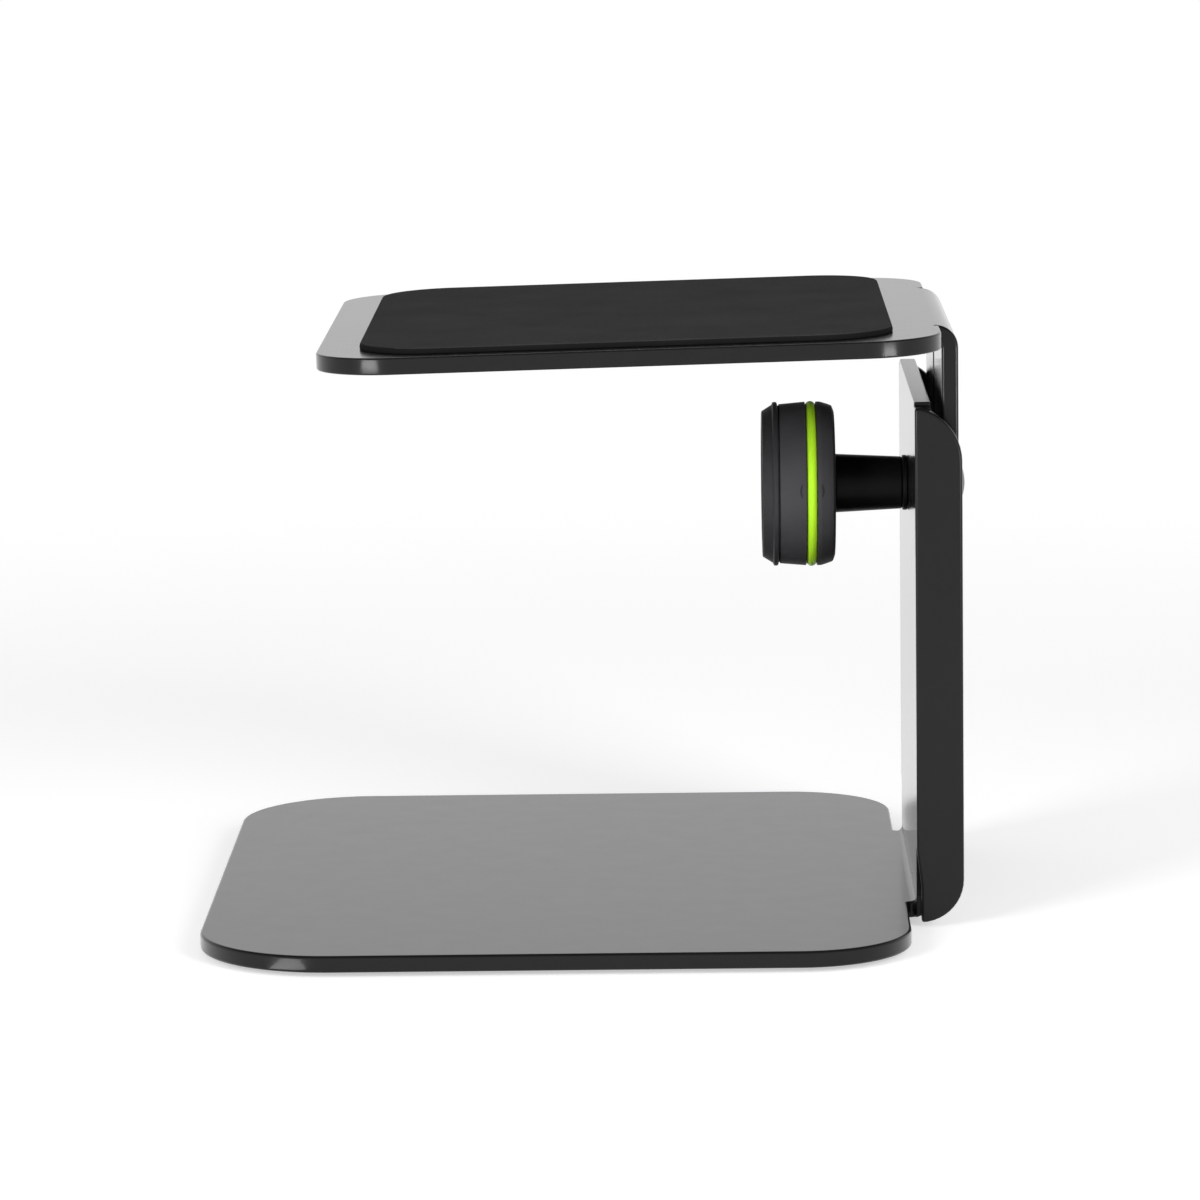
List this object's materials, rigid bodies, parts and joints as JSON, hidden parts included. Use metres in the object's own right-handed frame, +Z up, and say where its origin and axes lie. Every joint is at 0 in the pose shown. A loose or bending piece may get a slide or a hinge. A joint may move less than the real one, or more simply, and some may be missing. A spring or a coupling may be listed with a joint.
{
  "type": "desktop speaker stand",
  "caption": "Height-adjustable desktop stand for a small monitor speaker: bent steel base and post, sliding padded tray clamped by a round knob.",
  "frame": {"origin": "middle of the footprint, on the surface that the stand rests on", "axes": "+Z up, front of the stand towards -Y, tongue and bolt head towards +Y, the mirror plane is X = 0"},
  "size_m": [0.25, 0.2296, 0.1812],
  "materials": {
    "coated_steel": "satin powder coat",
    "foot_rubber": "matte",
    "nylon": "matte",
    "blackened_steel": "satin",
    "pad_foam": "matte cellular",
    "knob_plastic": "soft satin",
    "insert_brass": "machined",
    "ring_rubber": "satin"
  },
  "bodies": {
    "base": {"base_bracket": "coated_steel", "foot_front_left": "foot_rubber", "foot_front_right": "foot_rubber", "foot_rear_left": "foot_rubber", "foot_rear_right": "foot_rubber", "guide_strip_left": "nylon", "guide_strip_right": "nylon", "spacer_washer": "nylon", "clamp_bolt": "blackened_steel"},
    "tray": {"tray_bracket": "coated_steel", "tray_pad": "pad_foam"},
    "washer": {"clamp_washer": "nylon"},
    "knob": {"knob_body": "knob_plastic", "knob_insert": "insert_brass", "knob_ring": "ring_rubber", "knob_cap": "knob_plastic"}
  },
  "joints": [
    {"name": "tray_height", "type": "slide", "parent": "base", "child": "tray", "axis": [0, 0, 1], "range_m": [-0.017, 0.08]},
    {"name": "knob_travel", "type": "slide", "parent": "base", "child": "washer", "axis": [0, -1, 0], "range_m": [0, 0.00187]},
    {"name": "knob_turn", "type": "hinge", "parent": "washer", "child": "knob", "pos_m": [0, 0.0825, 0.1255], "axis": [0, -1, 0], "range_deg": [0, 540]}
  ],
  "couplings": [
    {"joint": "knob_travel", "follows": "knob_turn", "m_per_rad": 0.00019894}
  ]
}
